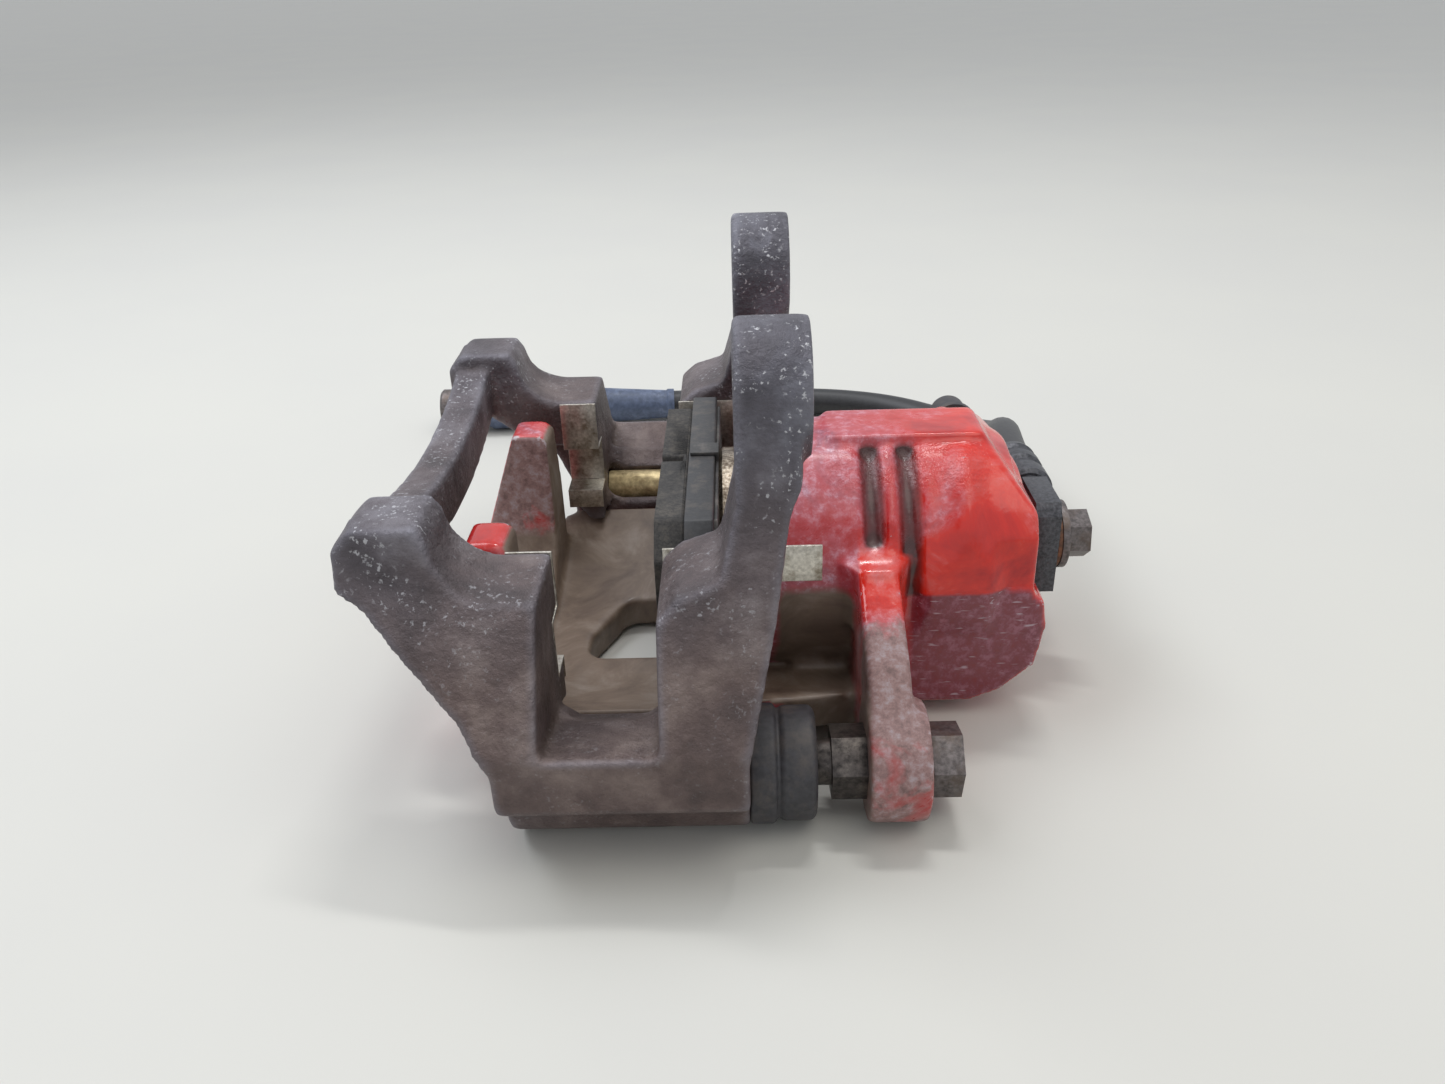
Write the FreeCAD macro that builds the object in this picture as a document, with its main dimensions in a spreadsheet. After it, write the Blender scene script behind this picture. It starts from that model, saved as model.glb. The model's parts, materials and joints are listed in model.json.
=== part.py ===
import FreeCAD, Part
import math
import os
import Sketcher

# A floating brake caliper with one piston, in its carrier bracket, for a vented disc of 238 x 20 mm.
# Millimetres. X points inboard along the piston, Y along the disc's edge, Z from the disc's edge
# towards the hub. The origin lies midway between the two ear holes, on the ears' inboard faces.
# The near side is the one towards -Y, the far side the one towards +Y.

os.makedirs("parts", exist_ok=True)
doc = FreeCAD.newDocument("brake_caliper")
sheet = doc.addObject("Spreadsheet::Sheet", "Sizes")

DRIVING = {
    # the bracket's two ears, with the bolt holes that hold the brake to the wheel carrier
    "ear_spacing": 92.0,
    "ear_radius": 13.9,
    "ear_thickness": 15.0,
    "ear_hole_radius": 6.25,
    "arm_thickness": 13.0,
    # the disc that the brake grips, which sets the slot, the bridge and the pads
    "disc_radius": 119.0,
    "disc_rise": 37.4,
    "disc_setback": 42.65,
    "slot_width": 23.5,
    "rim_gap": 2.4,
    # guide pins, their bores and the bosses at the bracket's four corners
    "pin_spacing": 123.0,
    "pin_drop": 79.5,
    "pin_radius": 5.0,
    "pin_reach": 41.0,
    "far_pin_lift": 8.6,
    "pin_hex_flats": 14.0,
    "pin_hex_start": 17.2,
    "pin_hex_length": 7.5,
    "running_gap": 0.05,
    "bore_spare": 7.5,
    "boss_radius": 13.0,
    "seat_setback": 13.4,
    "crossing_length": 51.0,
    "rim_half_width": 82.5,
    "rim_top": 18.0,
    "rim_bottom": 5.0,
    "slot_corner": 4.0,
    # bracket legs that carry the pads, and the tie bar that joins the outboard legs
    "leg_gap": 87.0,
    "leg_top": 43.4,
    "leg_depth": 10.0,
    "channel_depth": 7.5,
    "channel_height": 14.0,
    "channel_rise": 1.6,
    "knuckle_rise": 57.7,
    "knuckle_reach": 81.0,
    "knuckle_width": 19.0,
    "knuckle_hollow": 12.0,
    "knuckle_height": 12.0,
    "tie_thickness": 9.5,
    "tie_setback": 2.0,
    "tie_height": 13.0,
    "tie_half_span": 55.0,
    "tie_sag": 10.0,
    # the caliper's cylinder, bridge and claws
    "piston_drop": 58.2,
    "piston_radius": 24.0,
    "cylinder_wall": 7.0,
    "cylinder_length": 57.0,
    "mouth_setback": 14.4,
    "bore_depth": 47.0,
    "end_reach": 14.0,
    "end_radius": 21.0,
    "bridge_thickness": 8.6,
    "bridge_half_width": 51.0,
    "bridge_neck_half_width": 47.0,
    "window_half_width": 14.0,
    "window_length": 30.0,
    "claw_gap": 48.8,
    "claw_width": 12.3,
    "claw_rise": 20.0,
    "claw_thickness": 9.5,
    "claw_root": 19.0,
    "claw_setback": 65.4,
    "side_flat": 29.0,
    "ledge_half_width": 8.6,
    "ledge_height": 0.8,
    "flute_radius": 2.8,
    "flute_pitch": 8.4,
    "flute_start": 29.5,
    "ear_length": 13.0,
    "web_thickness": 9.5,
    # seals and rubber
    "boot_radius": 12.8,
    "boot_length": 14.0,
    "boot_wall": 2.6,
    "seal_width": 3.4,
    "seal_height": 3.2,
    "seal_setback": 9.0,
    "dust_boot_width": 4.2,
    "dust_boot_depth": 4.5,
    # fasteners
    "bolt_radius": 3.95,
    "bolt_flats": 14.0,
    "bolt_head": 7.1,
    "bolt_reach": 24.0,
    "banjo_radius": 4.9,
    "banjo_flats": 10.8,
    "banjo_head": 6.0,
    "banjo_flange_radius": 8.6,
    "banjo_flange": 1.7,
    "washer_radius": 8.4,
    "washer_thickness": 1.2,
    "banjo_width": 6.2,
    "banjo_height": 24.0,
    "banjo_depth": 17.0,
    # the piston and the inner brake pad
    "piston_length": 43.0,
    "piston_wall": 4.5,
    "pad_half_length": 41.0,
    "pad_top": 23.6,
    "pad_rim_gap": 0.6,
    "plate_thickness": 6.4,
    "friction_thickness": 6.8,
    "shim_thickness": 0.9,
    "pad_setback": 19.8,
    "pad_ear_reach": 8.0,
    "pad_ear_height": 11.6,
    "pad_groove": 3.0,
    "clip_thickness": 0.6,
    "clip_strip_height": 9.0,
    "clip_strip_length": 34.0,
    # hose and its fittings
    "hose_radius": 5.25,
    "ferrule_radius": 6.6,
    "ferrule_length": 20.0,
    "neck_radius": 5.0,
    "neck_length": 4.0,
    "sleeve_length": 74.0,
    "sleeve_small_radius": 6.0,
    "sleeve_large_radius": 8.5,
    "fitting_length": 18.0,
    "fitting_flats": 15.0,
    "fitting_bore_radius": 5.0,
    # bleed screw and its dust cap
    "bleed_radius": 3.45,
    "bleed_hex_flats": 10.0,
    "bleed_boss_radius": 7.5,
    "bleed_setback": 11.0,
    "bleed_rise": 14.0,
    "bleed_stand": 0.5,
    "bleed_engagement": 14.0,
    "bleed_hex_length": 6.4,
    "bleed_nipple": 9.0,
}
for row, (alias, value) in enumerate(DRIVING.items(), start=1):
    sheet.set("A%d" % row, alias.replace("_", " "))
    sheet.set("B%d" % row, str(value))
    sheet.setAlias("B%d" % row, alias)
doc.recompute()


class Size:
    """A length together with the expression over the sheet's cells that gives it."""

    def __init__(self, value, text):
        self.value = value
        self.text = text

    def __add__(self, other):
        other = as_size(other)
        return Size(self.value + other.value, "(%s + %s)" % (self.text, other.text))

    def __sub__(self, other):
        other = as_size(other)
        return Size(self.value - other.value, "(%s - %s)" % (self.text, other.text))

    def __mul__(self, other):
        other = as_size(other)
        return Size(self.value * other.value, "(%s * %s)" % (self.text, other.text))

    def __truediv__(self, other):
        other = as_size(other)
        return Size(self.value / other.value, "(%s / %s)" % (self.text, other.text))

    def __neg__(self):
        return Size(-self.value, "(0 - %s)" % self.text)

    def __radd__(self, other):
        return as_size(other) + self

    def __rsub__(self, other):
        return as_size(other) - self

    def __rmul__(self, other):
        return as_size(other) * self


def as_size(value):
    if isinstance(value, Size):
        return value
    return Size(float(value), "(%r)" % float(value))


def root(value):
    return Size(math.sqrt(value.value), "sqrt(%s)" % value.text)


def cell(alias):
    return Size(DRIVING[alias], "Sizes." + alias)


PLANES = {
    "xz": (FreeCAD.Rotation(FreeCAD.Vector(1, 0, 0), 90), "y", FreeCAD.Vector(0, 1, 0)),
    "yz": (FreeCAD.Rotation(FreeCAD.Vector(1, 1, 1), 120), "x", FreeCAD.Vector(1, 0, 0)),
    "xy": (FreeCAD.Rotation(), "z", FreeCAD.Vector(0, 0, 1)),
}
AXES = {
    "x": FreeCAD.Rotation(FreeCAD.Vector(0, 1, 0), 90),
    "y": FreeCAD.Rotation(FreeCAD.Vector(1, 0, 0), -90),
    "z": FreeCAD.Rotation(),
}


def bind(item, field, size):
    size = as_size(size)
    item.setExpression(field, size.text)


def place(item, x, y, z, rotation=None):
    if rotation is not None:
        item.Placement = FreeCAD.Placement(FreeCAD.Vector(), rotation)
    for letter, size in zip("xyz", (x, y, z)):
        bind(item, "Placement.Base." + letter, size)


def box(name, x, y, z):
    """A block between pairs of stations along X, Y and Z."""
    item = doc.addObject("Part::Box", name)
    for field, (low, high) in zip(("Length", "Width", "Height"), (x, y, z)):
        bind(item, field, high - low)
    place(item, x[0], y[0], z[0])
    return item


def spot(axis, along, first, second):
    """Coordinates of a point given along an axis and across it, in X, Y, Z order."""
    return {"x": (along, first, second), "y": (first, along, second), "z": (first, second, along)}[axis]


def rod(name, axis, start, end, first, second, radius):
    """A cylinder along an axis; first and second are its place across the axis."""
    item = doc.addObject("Part::Cylinder", name)
    bind(item, "Radius", radius)
    bind(item, "Height", as_size(end) - start)
    place(item, *spot(axis, start, first, second), AXES[axis])
    return item


def taper(name, axis, start, end, first, second, radius, end_radius):
    item = doc.addObject("Part::Cone", name)
    bind(item, "Radius1", radius)
    bind(item, "Radius2", end_radius)
    bind(item, "Height", as_size(end) - start)
    place(item, *spot(axis, start, first, second), AXES[axis])
    return item


def hexagon(name, axis, start, end, first, second, flats, turn=0.0):
    item = doc.addObject("Part::Prism", name)
    item.Polygon = 6
    bind(item, "Circumradius", flats / math.sqrt(3))
    bind(item, "Height", as_size(end) - start)
    spin = FreeCAD.Rotation(FreeCAD.Vector(0, 0, 1), turn)
    place(item, *spot(axis, start, first, second), AXES[axis].multiply(spin))
    return item


def ring_groove(name, x, radius, groove_radius):
    """A round-bottomed groove around the piston's axis."""
    item = doc.addObject("Part::Torus", name)
    bind(item, "Radius1", radius)
    bind(item, "Radius2", groove_radius)
    place(item, x, 0, piston_z, AXES["x"])
    return item


def boolean(kind, name, parts):
    item = doc.addObject("Part::" + kind, name)
    item.Shapes = parts
    return item


def fuse(name, *parts):
    return boolean("MultiFuse", name, list(parts))


def common(name, *parts):
    return boolean("MultiCommon", name, list(parts))


def cut(name, base, *tools):
    item = doc.addObject("Part::Cut", name)
    item.Base = base
    item.Tool = tools[0] if len(tools) == 1 else fuse(name + "_tools", *tools)
    return item


def mirrored(name, source):
    item = doc.addObject("Part::Mirroring", name)
    item.Source = source
    item.Normal = FreeCAD.Vector(0, 1, 0)
    return item


def both_sides(name, source):
    return fuse(name, source, mirrored(name + "_mirror", source))


def arc_between(start, end, radius):
    """The shorter arc from start to end; its centre is left of the way for a positive radius."""
    middle = (start + end) * 0.5
    way = end - start
    half = way.Length / 2
    left = FreeCAD.Vector(-way.y, way.x, 0).normalize()
    rise = math.sqrt(max(radius * radius - half * half, 0.0))
    centre = middle + left * math.copysign(rise, radius)
    first, last = (start, end) if radius > 0 else (end, start)
    angles = [math.atan2(point.y - centre.y, point.x - centre.x) for point in (first, last)]
    circle = Part.Circle(centre, FreeCAD.Vector(0, 0, 1), abs(radius))
    return Part.ArcOfCircle(circle, angles[0], angles[1])


def fill_sketch(sketch, points):
    """A closed outline; a third value in a point is the radius of the arc that arrives there."""
    edges = []
    for number, point in enumerate(points):
        ends = [FreeCAD.Vector(as_size(p[0]).value, as_size(p[1]).value, 0)
                for p in (points[number - 1], point)]
        if len(point) == 2:
            edges.append((sketch.addGeometry(Part.LineSegment(ends[0], ends[1])), 1, 2))
            continue
        radius = as_size(point[2])
        geometry = sketch.addGeometry(arc_between(ends[0], ends[1], radius.value))
        bound = radius if radius.value > 0 else -radius
        number_of = sketch.addConstraint(Sketcher.Constraint("Radius", geometry, bound.value))
        sketch.setExpression("Constraints[%d]" % number_of, bound.text)
        edges.append((geometry, 1, 2) if radius.value > 0 else (geometry, 2, 1))
    for number, (geometry, first, last) in enumerate(edges):
        after = edges[(number + 1) % len(edges)]
        sketch.addConstraint(Sketcher.Constraint("Coincident", geometry, last, after[0], after[1]))
        for kind, size in zip(("DistanceX", "DistanceY"), points[number][:2]):
            size = as_size(size)
            made = sketch.addConstraint(Sketcher.Constraint(kind, geometry, last, size.value))
            sketch.setExpression("Constraints[%d]" % made, size.text)


def prism(name, plane, points, start, end):
    """An outline in a plane, pulled from one station to another square to it."""
    rotation, letter, way = PLANES[plane]
    sketch = doc.addObject("Sketcher::SketchObject", name + "_outline")
    sketch.Placement = FreeCAD.Placement(FreeCAD.Vector(), rotation)
    bind(sketch, "Placement.Base." + letter, start)
    fill_sketch(sketch, points)
    item = doc.addObject("Part::Extrusion", name)
    item.Base = sketch
    item.DirMode = "Custom"
    item.Dir = way
    item.Solid = True
    bind(item, "LengthFwd", as_size(end) - start)
    return item


def turned(name, points, x, y, z, rotation=None):
    """A body turned about its own X axis from an outline of (along, radius) points."""
    body = doc.addObject("PartDesign::Body", name)
    sketch = body.newObject("Sketcher::SketchObject", name + "_outline")
    plane = [item for item in body.Origin.OriginFeatures if item.Role == "XZ_Plane"][0]
    sketch.AttachmentSupport = [(plane, "")]
    sketch.MapMode = "FlatFace"
    fill_sketch(sketch, points)
    turn = body.newObject("PartDesign::Revolution", name + "_turn")
    turn.Profile = sketch
    turn.ReferenceAxis = (sketch, ["H_Axis"])
    turn.Angle = 360
    place(body, x, y, z, rotation)
    return body


# Heights and stations that several pieces share
pin_y = cell("pin_spacing") / 2
pin_z = -cell("pin_drop")
far_pin_z = pin_z + cell("far_pin_lift")
piston_z = -cell("piston_drop")
disc_z = cell("disc_rise")
rim_radius = cell("disc_radius") + cell("rim_gap")
bridge_radius = rim_radius + cell("bridge_thickness")
table_z = disc_z - bridge_radius
slot_in = cell("slot_width") / 2 - cell("disc_setback")
slot_out = -cell("disc_setback") - cell("slot_width") / 2
seat_x = -cell("seat_setback")
crossing_end = seat_x - cell("crossing_length")
leg_y = cell("leg_gap") / 2
way_y = cell("bridge_half_width") + 1.6
leg_z = pin_z + cell("leg_top")
channel_z = piston_z + cell("channel_rise")
channel_low = channel_z - cell("channel_height") / 2
channel_high = channel_z + cell("channel_height") / 2
channel_y = leg_y + cell("channel_depth")
knuckle_x = seat_x - cell("knuckle_reach")
knuckle_z = pin_z + cell("knuckle_rise")
mouth_x = -cell("mouth_setback")
cylinder_radius = cell("piston_radius") + cell("cylinder_wall")
cylinder_end = mouth_x + cell("cylinder_length")
body_end = cylinder_end + cell("end_reach")
web_x = cell("pin_hex_start") + cell("pin_hex_length") + seat_x
pad_face = seat_x - cell("pad_setback")
plate_face = pad_face + cell("friction_thickness")
shim_face = plate_face + cell("plate_thickness")
piston_face = shim_face + cell("shim_thickness")


def rim_height(radius, y):
    """Height of a rim around the disc's axis at a place along the edge."""
    return disc_z - root(radius * radius - y * y)


def bracket_half(bore_z):
    """Half of the bracket, towards +Y: ear, arm, inboard leg, crossing, outboard leg and knuckle."""
    rim_y = cell("rim_half_width")
    rim_high = pin_z + cell("rim_top") + (bore_z - pin_z) / 2
    rim_low = pin_z + cell("rim_bottom")
    boss = cell("boss_radius")
    ear_y = cell("ear_spacing") / 2
    ear_r = cell("ear_radius")
    crossing = prism("crossing", "yz", [
        (pin_y, pin_z - boss), (rim_y, rim_low), (rim_y, rim_high), (pin_y, pin_z + boss)],
        crossing_end, seat_x)
    pin_boss = rod("pin_boss", "x", crossing_end, seat_x, pin_y, bore_z, boss)
    arm_front = prism("arm_front", "xz", [
        (slot_in, pin_z - boss), (slot_in, leg_z - 2), (slot_in + 4, leg_z + 2),
        (seat_x - 5, leg_z + 5), (-cell("ear_thickness"), leg_z + 18),
        (-cell("ear_thickness"), ear_r), (-cell("ear_thickness") + cell("arm_thickness"), ear_r),
        (-cell("ear_thickness") + cell("arm_thickness"), -ear_r), (seat_x + 9, leg_z + 16),
        (seat_x + 6, leg_z - 2), (seat_x, bore_z + boss + 2), (seat_x, pin_z - boss)],
        leg_y - 12, rim_y + 1)
    arm_side = prism("arm_side", "yz", [
        (pin_y, pin_z - boss), (rim_y, rim_low), (rim_y, rim_high),
        (rim_y - 10, leg_z - 5), (rim_y - 19, leg_z + 14), (ear_y + ear_r, 0),
        (ear_y - ear_r, 0, ear_r), (ear_y - ear_r + 1, -9),
        (leg_y, leg_z + 4), (leg_y, pin_z - boss)],
        slot_in, 0)
    arm = common("arm", arm_front, arm_side)
    ear = rod("ear", "x", -cell("ear_thickness"), 0, ear_y, 0, ear_r)
    leg_front = prism("leg_front", "xz", [
        (slot_out, pin_z - boss), (slot_out, leg_z), (slot_out - cell("leg_depth"), leg_z),
        (knuckle_x + cell("knuckle_width"), knuckle_z - 3, -cell("knuckle_hollow")),
        (knuckle_x + cell("knuckle_width") - 2, knuckle_z),
        (knuckle_x + 4, knuckle_z), (knuckle_x, knuckle_z - 4),
        (knuckle_x, knuckle_z - cell("knuckle_height")),
        (knuckle_x + 5.5, knuckle_z - cell("knuckle_height") - 3), (crossing_end - 5.6, rim_high + 6),
        (crossing_end + 2, rim_low + 6), (crossing_end + 6.5, rim_low),
        (crossing_end + 6.5, pin_z - boss)],
        leg_y - 1, rim_y + 1)
    leg_side = prism("leg_side", "yz", [
        (pin_y, pin_z - boss), (rim_y, rim_low), (rim_y, rim_high),
        (rim_y - 12, leg_z - 6), (rim_y - 20, leg_z + 4), (rim_y - 22, knuckle_z),
        (leg_y, knuckle_z), (leg_y, pin_z - boss)],
        knuckle_x, slot_out)
    leg = common("leg", leg_front, leg_side)
    solid = fuse("bracket_half_solid", crossing, pin_boss, arm, ear, leg)
    bridge_way = prism("bridge_way", "yz", [
        (leg_y - 20, table_z - 5), (way_y, table_z - 5),
        (way_y, rim_height(rim_radius - 1.8, way_y)),
        (leg_y, rim_height(rim_radius - 1.8, leg_y)),
        (leg_y - 20, rim_height(rim_radius - 1.8, leg_y - 20))],
        knuckle_x - 5, 5)
    corner = cell("slot_corner")
    disc_way = rod("disc_way", "x", slot_out + corner, slot_in - corner, 0, disc_z, rim_radius)
    way_out = taper("way_out", "x", slot_out, slot_out + corner, 0, disc_z, rim_radius - corner, rim_radius)
    way_in = taper("way_in", "x", slot_in - corner, slot_in, 0, disc_z, rim_radius, rim_radius - corner)
    channel = box("channel", (knuckle_x - 5, as_size(5)), (leg_y - 5, channel_y), (channel_low, channel_high))
    pin_bore = rod("pin_bore", "x", seat_x - cell("pin_reach") - cell("bore_spare"), seat_x + 1,
                   pin_y, bore_z, cell("pin_radius") + cell("running_gap"))
    ear_hole = rod("ear_hole", "x", -cell("ear_thickness") - 1, 1, ear_y, 0, cell("ear_hole_radius"))
    return cut("bracket_half", solid, bridge_way, disc_way, way_out, way_in, channel, pin_bore, ear_hole)


def tie_bar():
    """The bar that joins the two outboard knuckles, sagging towards the disc's edge."""
    span = cell("tie_half_span")
    sag = cell("tie_sag")
    curve = (span * span + sag * sag) / (2 * sag)
    low = knuckle_z - cell("tie_height")
    start = knuckle_x + cell("tie_setback")
    return prism("tie_bar", "yz", [
        (-span, knuckle_z, -curve), (-span, low), (span, low, curve), (span, knuckle_z)],
        start, start + cell("tie_thickness"))


def make_bracket():
    """Both halves and the tie bar; the far pin is seen where the disc's way opens its bore."""
    window = rod("pin_window", "x", slot_out, slot_in, pin_y - 2, far_pin_z + 3, cell("pin_radius") + 0.6)
    far_half = cut("bracket_far", bracket_half(far_pin_z), window)
    fuse("bracket", mirrored("bracket_near", bracket_half(pin_z)), far_half, tie_bar())


def make_pin_boot(side, sign, height):
    """A ribbed rubber sleeve on the bracket's seat face, around the guide pin."""
    length = cell("boot_length")
    outer = cell("boot_radius")
    inner = outer - cell("boot_wall") - 1.6
    lip = cell("pin_radius") + 0.3
    turned("pin_boot_" + side, [
        (0, lip), (0, outer), (length * 0.36, outer), (length * 0.42, outer - 1.4),
        (length * 0.5, outer - 0.6), (length - 1, outer - 0.6), (length, outer - 1.8),
        (length, lip), (length - cell("boot_wall"), lip), (length - cell("boot_wall"), inner),
        (cell("boot_wall"), inner), (cell("boot_wall"), lip)],
        seat_x, sign * pin_y, height)


def make_pad_clip(side, sign, place_name, start, end, strip_end):
    """A stainless liner in a bracket leg's channel, with a strip along the leg's inner face."""
    name = "pad_clip_%s_%s" % (side, place_name)
    thick = cell("clip_thickness")
    low = channel_low
    high = channel_high

    def span(inner, outer):
        return (inner, outer) if sign > 0 else (-outer, -inner)

    back = box(name + "_back", (start, end), span(channel_y - thick, channel_y), (low, high))
    floor = box(name + "_floor", (start, end), span(leg_y - thick, channel_y), (low, low + thick))
    roof = box(name + "_roof", (start, end), span(leg_y - thick, channel_y), (high - thick, high))
    strip = box(name + "_strip", (start, strip_end), span(leg_y - thick, leg_y),
                (leg_z - cell("clip_strip_height"), leg_z - 0.4))
    riser = box(name + "_riser", (start, end), span(leg_y - thick, leg_y), (high - thick, leg_z - 1))
    foot = box(name + "_foot", (start, end), span(leg_y - thick, leg_y), (low - 5, low + thick))
    fuse(name, back, floor, roof, riser, strip, foot)


def bridge():
    """The curved plate over the disc's edge, with its window."""
    outer = rod("bridge_outer", "x", claw_out_x + 9, mouth_x + 34, 0, disc_z, bridge_radius)
    inner = rod("bridge_inner", "x", claw_x - 5, mouth_x + 36, 0, disc_z, rim_radius)
    wide = cell("bridge_half_width")
    neck = cell("bridge_neck_half_width")
    floor = table_z - 2
    plate = prism("bridge_plan", "xy", [
        (claw_x - 4, -neck), (claw_x + 2, -wide), (slot_in - 1, -wide), (slot_in + 3, -neck),
        (mouth_x + 34, 8 - neck), (mouth_x + 34, neck - 8), (slot_in + 3, neck),
        (slot_in - 1, wide), (claw_x + 2, wide), (claw_x - 4, neck)],
        floor, disc_z - rim_radius + 14)
    shell = cut("bridge_shell", outer, inner)
    half = cell("window_half_width")
    left = slot_out + 0.5
    right = left + cell("window_length")
    window = prism("window", "xy", [
        (left, -half + 3), (left + 3, -half), (right, -half), (right, half),
        (left + 10, half), (left + 7, half - 2), (left, 2 - half / 3)],
        floor, disc_z - rim_radius + 6)
    return cut("bridge", common("bridge_strip", shell, plate), window)


claw_x = -cell("claw_setback")
claw_out_x = claw_x - cell("claw_root")


def claws():
    """The outboard wall with its two claws, on both sides of the tool opening."""
    inner_y = cell("claw_gap") / 2
    outer_y = inner_y + cell("claw_width")
    top = piston_z + cell("claw_rise")
    wall = prism("claw_wall", "xz", [
        (claw_x, table_z + 3), (claw_x, top - 2), (claw_x - 2, top),
        (claw_x - cell("claw_thickness"), top), (claw_out_x, piston_z - 7),
        (claw_out_x + 4, piston_z - 26), (claw_out_x + 10, table_z + 1.5)],
        -outer_y - 5, outer_y + 5)
    face = prism("claw_face", "yz", [
        (-outer_y, top), (-outer_y - 4, piston_z), (-outer_y - 4, table_z + 12),
        (-20, table_z + 1.5), (20, table_z + 1.5), (outer_y + 4, table_z + 12),
        (outer_y + 4, piston_z), (outer_y, top)],
        claw_out_x - 1, claw_x + 1)
    notch = rod("claw_notch", "x", claw_out_x - 2, claw_x + 2, 0, piston_z, inner_y)
    mouth = box("claw_mouth", (claw_out_x - 2, claw_x + 2), (-inner_y, inner_y), (piston_z, top + 2))
    return cut("claws", common("claw_block", wall, face), notch, mouth)


def caliper_ear(bolt_z):
    """A lug towards +Y that the guide pin's bolt passes through, with its web to the cylinder."""
    boss = rod("lug", "x", web_x, web_x + cell("ear_length"), pin_y, bolt_z, cell("boss_radius"))
    web = prism("web", "yz", [
        (16, table_z + 6), (pin_y - 4, bolt_z - 12), (pin_y + 8, bolt_z + 8),
        (pin_y - 6, pin_z + 20), (cylinder_radius - 3, piston_z + 12), (16, piston_z + 12)],
        web_x + 0.4, web_x + 0.4 + cell("web_thickness"))
    gusset = prism("gusset", "xy", [
        (web_x - 9, cylinder_radius - 8), (web_x + 1, cylinder_radius + 4),
        (web_x + 9, cylinder_radius + 4), (web_x + 16, cylinder_radius - 8)],
        piston_z - 6, piston_z + 10)
    return fuse("caliper_ear", boss, web, gusset)


def cylinder():
    """The cylinder with its mouth collar, stepped end, flat sides and top ledge."""
    barrel = rod("barrel", "x", mouth_x, cylinder_end, 0, piston_z, cylinder_radius)
    flutes = [ring_groove("flute_%d" % number, seat_x + cell("flute_start") + number * cell("flute_pitch"),
                          cylinder_radius + 0.4, cell("flute_radius")) for number in range(2)]
    narrow = ring_groove("narrow_groove", seat_x + cell("flute_start") + 2.05 * cell("flute_pitch"),
                         cylinder_radius + 0.6, cell("flute_radius") / 2)
    grooved = cut("grooved_barrel", barrel, *flutes, narrow)
    shoulder = taper("shoulder", "x", cylinder_end, cylinder_end + 8, 0, piston_z,
                     cylinder_radius, cell("end_radius") + 5)
    end = rod("cylinder_foot", "x", cylinder_end, body_end - 3, 0, piston_z, cell("end_radius"))
    spot_face = rod("spot_face", "x", cylinder_end, body_end, 0, piston_z, cell("washer_radius") + 1.2)
    flat = cell("side_flat")
    low = table_z + 4
    sides = prism("side_flats", "xz", [
        (web_x + 10, low), (cylinder_end - 2, low), (cylinder_end + 5, low + 3), (body_end - 1.2, low + 10),
        (body_end - 0.6, piston_z - 10), (body_end - 3, piston_z - 9), (body_end - 3, piston_z),
        (web_x + 10, piston_z)],
        -flat, flat)
    corner = prism("side_corner", "xz", [
        (body_end - 4, low + 8), (body_end - 1.2, low + 10), (body_end + 0.6, piston_z - 9.5),
        (body_end - 0.6, piston_z - 2.5), (body_end - 4, piston_z - 1)],
        flat - 12, flat)
    end_round = rod("end_round", "x", cylinder_end - 6, body_end - 3, 0, piston_z, cylinder_radius)
    end_slope = prism("end_slope", "xz", [
        (cylinder_end - 6, piston_z - 12), (body_end - 3, piston_z - 12), (body_end - 3, piston_z + 18),
        (cylinder_end + 1, piston_z + cylinder_radius), (cylinder_end - 6, piston_z + cylinder_radius)],
        -flat + 1, flat - 1)
    end_block = common("end_block", end_round, end_slope)
    ledge = box("ledge", (seat_x + 20, cylinder_end + 1),
                (-cell("ledge_half_width"), cell("ledge_half_width")),
                (piston_z + cylinder_radius - 7, piston_z + cylinder_radius + cell("ledge_height")))
    belly = box("belly", (mouth_x + 12, cylinder_end), (-24, as_size(24)), (table_z + 2, piston_z - 12))
    return fuse("cylinder", grooved, shoulder, end, spot_face, sides, both_sides("side_corners", corner),
                end_block, ledge, belly)


bleed_x = body_end - cell("bleed_setback")
bleed_z = piston_z + cell("bleed_rise")
bleed_y = cylinder_radius + cell("bleed_stand")


def make_caliper_body():
    far_ear = caliper_ear(far_pin_z)
    near_ear = mirrored("near_ear", caliper_ear(pin_z))
    bleed_boss = rod("bleed_boss", "y", 6, bleed_y, bleed_x, bleed_z, cell("bleed_boss_radius"))
    solid = fuse("body_solid", cylinder(), bridge(), claws(), far_ear, near_ear, bleed_boss)
    bore = rod("bore", "x", mouth_x - 20, mouth_x + cell("bore_depth"), 0, piston_z,
               cell("piston_radius") + cell("running_gap"))
    recess = rod("boot_recess", "x", mouth_x - 20, mouth_x + cell("dust_boot_depth"), 0, piston_z,
                 cell("piston_radius") + cell("dust_boot_width") + 0.1)
    groove = rod("seal_groove", "x", mouth_x + cell("seal_setback"),
                 mouth_x + cell("seal_setback") + cell("seal_width"), 0, piston_z,
                 cell("piston_radius") + cell("seal_height"))
    inlet = rod("inlet", "x", mouth_x + cell("bore_depth") - 1, body_end + 1, 0, piston_z,
                cell("banjo_radius") + 0.1)
    bleed_bore = rod("bleed_bore", "y", 4, bleed_y + 1, bleed_x, bleed_z,
                     cell("bleed_radius") + cell("running_gap"))
    gallery = rod("gallery", "x", mouth_x + cell("bore_depth") - 3, bleed_x, 8, bleed_z, 2)
    bolt_holes = [rod("bolt_hole_" + side, "x", web_x - 1, web_x + cell("ear_length") + 1,
                      sign * pin_y, height, cell("bolt_radius") + 0.25) for side, sign, height in SIDES]
    cut("caliper_body", solid, bore, recess, groove, inlet, bleed_bore, gallery, *bolt_holes)


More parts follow.
